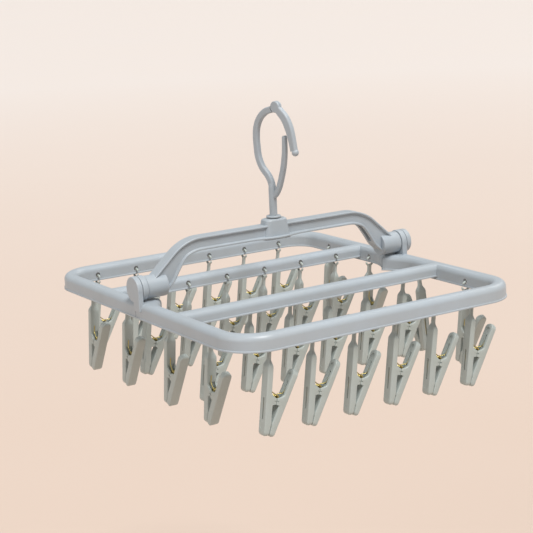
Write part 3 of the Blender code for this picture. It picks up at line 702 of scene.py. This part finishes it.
def hook_body():
    thing = band("hook", BACK_ARM, lambda t: BACK_ARM_WIDTH, HOOK_HALF, 1.5)
    join(thing, band("tongue", TONGUE, tongue_width, HOOK_HALF - 0.2, 1.3))
    join(thing, knuckle(KNUCKLE_RADIUS, -HOOK_HALF, HOOK_HALF, 0.9))
    join(thing, turned("stem", STEM, (0, 0, STEM_FOOT), (0, 0, 1)))
    join(thing, drum("collar", COLLAR_RADIUS, (0, 0, COLLAR[0]), (0, 0, COLLAR[1]), 0.7))
    cut(thing, knuckle(KNUCKLE_ROOM, -HOOK_HALF - 1, GAP / 2))
    cut(thing, knuckle(CLAW_PIN_HOLE, -1, HOOK_HALF - CLAW_PIN_COVER))
    cut(thing, hole(SCREW_HOLE[0], (0, 0, STEM_FOOT - 1), (0, 0, STEM_FOOT + SCREW_HOLE[1])))
    thing.data.transform(HOOK_TURN)
    return placed(thing, "hook_shell", "hook", HANGER, ["hook_body"])


def hook_claw():
    thing = band("claw", CLAW, claw_width, HOOK_HALF, 1.5)
    join(thing, knuckle(KNUCKLE_RADIUS, -HOOK_HALF, HOOK_HALF, 0.9))
    ball = [(CLAW_BALL * (1 - math.cos(a)), max(CLAW_BALL * math.sin(a), 0.05))
            for a in (math.pi * k / 18 for k in range(19))]
    join(thing, turned("ball", ball, (-CLAW_BALL, *CLAW_TIP), (1, 0, 0), 36))
    cut(thing, knuckle(KNUCKLE_ROOM, -GAP / 2, HOOK_HALF + 1))
    cut(thing, knuckle(CLAW_PIN_HOLE, CLAW_PIN_COVER - HOOK_HALF, 1))
    thing.data.transform(HOOK_TURN)
    return placed(thing, "hook_claw_shell", "claw", HANGER, ["hook_claw"])


# ---------------------------------------------------------------- clips

def split_x(z):
    """The line between the two legs."""
    return TIP_HALF + (z - TIP_Z) * math.tan(math.radians(JAW_ANGLE / 2))


def inner_side(z):
    """How far a leg reaches towards the other one, at one height below the fulcrum's top."""
    reach = split_x(z) - TOUCH
    depth, top, bottom = WEDGE
    if bottom < z <= top:
        return reach - depth * ((z - bottom) / (top - bottom)) ** 0.8
    if NOTCH[1] < z <= NOTCH[0]:
        return reach - NOTCH[2]
    first, pitch, tooth = TEETH
    if z <= first and round((z - first) / pitch) % 2:
        return reach - tooth
    return reach


def leg_levels(top):
    """(height, outer side, inner side, half width) down a leg, from top to the tip."""
    thick, wide = BODY_HALF
    levels = list(top)
    levels += [(z, -thick, thick, wide) for z in (-24, -30, -36, -40.5)]
    for k in range(1, 9):
        t = k / 8
        z = -40.5 + (PIVOT_Z + 40.5) * t
        levels.append((z, -thick, thick + (split_x(PIVOT_Z) - TOUCH - thick) * t ** 1.7, wide))
    notch_edges = [edge + near for edge in NOTCH[:2] for near in (0.02, -0.02)]
    steps = [-46.9, *notch_edges, -49.6, NOSE_END, WEDGE[1], -54, -57, -60, -63, -66, WEDGE[2]]
    levels += [(z, -thick, inner_side(z), wide) for z in steps + [-69.3]]
    levels += [(z, -thick, inner_side(z), wide) for z in [TEETH[0] - TEETH[1] / 2 * k for k in range(13)]]
    for k in range(1, 6):
        a = math.radians(16 * k)
        z = -75.9 - 3.1 * math.sin(a)
        draw = 1 - math.cos(a)
        levels.append((z, -thick + 1.9 * draw, split_x(z) - TOUCH - 1.8 * draw, wide - 2.2 * draw))
    return levels


def leg_skin(name, top):
    """A leg's closed skin, from its own top levels down to the tip."""
    rings = [[(x, y, z) for x, y in rounded(low, high, wide, 1.0)] for z, low, high, wide in leg_levels(top)]
    return loft(name, rings)


def spring_room():
    """The space between the cheeks, where the coil sits."""
    low = (BODY_HALF[0] - 0.9, -ROOM_HALF, NOSE_END - 0.6)
    return block(low, (split_x(PIVOT_Z) + 8, ROOM_HALF, PIVOT_Z + 6))


def slot_cutter(half_width, high, low, first_x, last_x):
    """A cutter for an upright slot with round ends, from height high down to low."""
    outline = (arc((0, high - half_width), half_width, 0, 180, 8)
               + arc((0, low + half_width), half_width, 180, 360, 8))
    return prism("cutter", outline, END_VIEW, first_x, last_x)


def ring():
    """The open ring that hangs in the rail."""
    first, last = RING_OPENING
    rings = []
    for k in range(45):
        a = math.radians(last + (360 + first - last) * k / 44)
        near_end = min(k, 44 - k)
        size = RING_WIRE * (0.55, 0.85)[near_end] if near_end < 2 else RING_WIRE
        out = Vector((0, math.cos(a), math.sin(a)))
        rings.append([out * (RING_RADIUS + size * math.cos(b)) + Vector((size * math.sin(b), 0, 0))
                      for b in (2 * math.pi * j / 14 for j in range(14))])
    return loft("ring", rings)


def hooked_leg():
    thick, wide = BODY_HALF
    stem, stem_wide = STEM_HALF
    top = [(z, -stem, stem, stem_wide - 0.1) for z in (-4.2, -6.5, -9.0)]
    for k in range(13):
        t = k / 12
        z = SHOULDER[0] + (SHOULDER[1] - SHOULDER[0]) * t
        across = stem + (thick - stem) * smooth(t * 0.9)
        top.append((z, -across, across, stem_wide + (wide - stem_wide) * smooth(t * 1.15)))
    thing = join(leg_skin("leg", top), ring())
    cut(thing, slot_cutter(wide - 1.1, -20.5, -73.0, -thick - 1, -thick + 0.28))
    cut(thing, slot_cutter(0.8, -44.5, -64.5, -thick - 1, -0.5))
    return cut(thing, spring_room())


def lever():
    """The sprung leg, made like the hooked one and mirrored in the line between the two."""
    thick, wide = BODY_HALF
    top = []
    for k in range(1, 12):
        a = math.radians(90 - 90 * k / 11)
        z = LEVER_TOP - wide * (1 - math.sin(a))
        draw = 0.9 * max(0.0, 1 - (LEVER_TOP - z) / 1.6)
        top.append((z, -thick + draw, thick - draw, max(wide * math.cos(a), 1.2)))
    thing = leg_skin("lever", top)
    cut(thing, slot_cutter(2.4, -20.5, -42.5, thick - 0.9, thick + 3))
    cut(thing, slot_cutter(0.7, -28.0, -41.0, thick - 2.4, thick + 3))
    cut(thing, spring_room())
    thing.data.transform(MIRROR)
    thing.data.flip_normals()
    return thing


def wire(name, points, radius=SPRING_WIRE, per_span=4, sides=10):
    """A round wire along points."""
    path = smooth_path(points, per_span)
    normal = (path[1] - path[0]).orthogonal().normalized()
    rings = []
    for k, place in enumerate(path):
        along = (path[min(k + 1, len(path) - 1)] - path[max(k - 1, 0)]).normalized()
        normal = (normal - along * normal.dot(along)).normalized()
        other = along.cross(normal)
        rings.append([place + radius * (normal * math.cos(a) + other * math.sin(a))
                      for a in (2 * math.pi * j / sides for j in range(sides))])
    return loft(name, rings)


def coil_spring():
    """The coil round the fulcrum and its arm to the hooked leg."""
    x, z = split_x(PIVOT_Z), PIVOT_Z
    steps = round(COIL_TURNS * 12)
    coil = []
    for k in range(steps + 1):
        angle = 2 * math.pi * COIL_TURNS * k / steps
        coil.append((x + COIL_RADIUS * math.cos(angle), -COIL_HALF + 2 * COIL_HALF * k / steps,
                     z + COIL_RADIUS * math.sin(angle)))
    arm = [(3.15, -0.9, -33.5), (3.2, -1.0, -36.5), (3.6, -1.4, -39.5), (x - 1.2, -2.1, -42.4),
           (x + 1.4, -COIL_HALF, -43.6), (x + 2.3, -COIL_HALF, -44.6)]
    return wire("coil_spring", arm + coil, per_span=2)


def lever_arm():
    """The spring's other arm, which lies in the lever's recess."""
    points = [(split_x(PIVOT_Z) - 1.4, 2.2, -43.6), (5.6, 1.5, -41.9), (2.6, 0.5, -40.2), (1.3, 0.1, -37.5),
              (1.0, 0.0, -34.0)]
    thing = wire("lever_arm", points, per_span=5)
    thing.data.transform(MIRROR)
    thing.data.flip_normals()
    return thing


def slot_wire():
    """The end of the spring that shows in the slot of the hooked leg."""
    return wire("slot_wire", [(-1.35, 0, -46.5), (-1.6, 0.1, -52), (-1.45, -0.1, -58), (-1.3, 0, -62.8)], 0.4)


# the lever is the hooked leg's likeness in the line between the two, and the whole clip leans a little
SPLIT = math.radians(JAW_ANGLE / 2)
PIVOT = Vector((split_x(PIVOT_Z), 0, PIVOT_Z)) * MM
MIRROR = (Matrix.Translation(PIVOT) @ Matrix.Scale(-1, 4, (math.cos(SPLIT), 0, -math.sin(SPLIT)))
          @ Matrix.Translation(-PIVOT))
LEAN = Matrix.Rotation(math.radians(CLIP_LEAN), 4, "Y")


def clip_turn(name):
    """Which way a clip faces: rows along X, side arms along Y, and one pair turned to the other side."""
    if "_left_" in name or "_right_" in name:
        return 90 if name == "front_right_1" else -90
    return 0


def clips():
    """Every clip: its hooked leg, lever and two spring pieces, which share their meshes."""
    meshes = {}
    for kind, thing, look in (("leg", hooked_leg(), CLIP), ("lever", lever(), CLIP),
                              ("coil_spring", coil_spring(), SPRING), ("lever_arm", lever_arm(), SPRING),
                              ("slot_wire", slot_wire(), SPRING)):
        thing.data.transform(LEAN)
        meshes[kind] = shaded(thing, look).data
        bpy.data.objects.remove(thing)
    for joint in JOINTS.values():
        if not joint["name"].startswith("swing_"):
            continue
        name = joint["name"][len("swing_"):]
        place = Matrix.Rotation(math.radians(clip_turn(name)), 4, "Z")
        place.translation = Vector(joint["pos_m"])
        own_lever = "jaw_" + name in frame["bodies"]
        nodes = {"leg": "leg_" + name, "lever": "lever_" + name} if own_lever else {"leg": "clip_" + name}
        for kind, mesh in meshes.items():
            thing = link(f"{kind}_shell_{name}", mesh)
            thing.matrix_world = place
            moves_with_lever = own_lever and kind in ("lever", "lever_arm")
            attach(thing, ("jaw_" if moves_with_lever else "clip_") + name)
            if kind in nodes:
                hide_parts(nodes[kind])


# ---------------------------------------------------------------- carried-over nodes, floor, light and camera

def carried_over():
    """The pins, washer and screw stay as the frame has them, in a finer metal."""
    for name in ("claw_pin", "swivel_washer", "swivel_screw", "hinge_pin_left", "hinge_pin_right"):
        node = frame["nodes"][name]
        node.data.materials.clear()
        node.data.materials.append(PIN)


def floor():
    bpy.ops.mesh.primitive_plane_add(size=80.0, location=(0, 0, FLOOR_Z * MM))
    ground = bpy.context.object
    ground.name = "floor"
    ground.data.materials.append(floor_paint_and_painted_falloff())


def sun(name, azimuth, height, softness, power, colour):
    """A soft distant light. Azimuth is 0 in front and 90 on the right, and height is above the horizon."""
    light = bpy.data.lights.new(name, "SUN")
    light.angle, light.energy, light.color = math.radians(softness), power, colour
    turn, rise = math.radians(azimuth), math.radians(height)
    towards = Vector((math.sin(turn) * math.cos(rise), -math.cos(turn) * math.cos(rise), math.sin(rise)))
    link(name, light).rotation_euler = towards.to_track_quat("Z", "Y").to_euler()


def lights():
    sun("key", 8, 62, 24, 3.1, (1.0, 0.99, 0.975))
    sun("right_rim", 110, 35, 25, 0.5, (1.0, 0.99, 0.98))
    sun("left_fill", -80, 30, 40, 0.8, (1.0, 0.99, 0.98))
    world = bpy.data.worlds.new("studio")
    world.use_nodes = True
    world.node_tree.nodes["Background"].inputs["Color"].default_value = (0.97, 0.965, 0.96, 1.0)
    world.node_tree.nodes["Background"].inputs["Strength"].default_value = 0.37
    bpy.context.scene.world = world
    bpy.context.scene.view_settings.view_transform = "Standard"


def camera():
    """Looks down at the hanger from its front left, a little off level as a hand-held camera is."""
    yaw, pitch, roll = (math.radians(a) for a in CAMERA_ANGLES)
    forward = Vector((math.sin(yaw) * math.cos(pitch), math.cos(yaw) * math.cos(pitch), -math.sin(pitch)))
    level = Vector((math.cos(yaw), -math.sin(yaw), 0))
    upright = level.cross(forward)
    right = level * math.cos(roll) + upright * math.sin(roll)
    up = upright * math.cos(roll) - level * math.sin(roll)
    data = bpy.data.cameras.new("camera")
    data.lens, data.sensor_width = CAMERA_LENS, 36.0
    data.clip_start, data.clip_end = 0.05, 100.0
    thing = link("camera", data)
    hinge = Vector((0, 0, HINGE_Z)) * MM
    left, down, back = CAMERA_BACK
    place = hinge - (right * left + up * down + forward * back) * MM
    thing.matrix_world = Matrix.Translation(place) @ Matrix((right, up, -forward)).transposed().to_4x4()
    bpy.context.scene.camera = thing


camera()
half_frame("front")
half_frame("back")
arch_handle()
hook_body()
hook_claw()
clips()
carried_over()
floor()
lights()

bpy.context.view_layer.update()
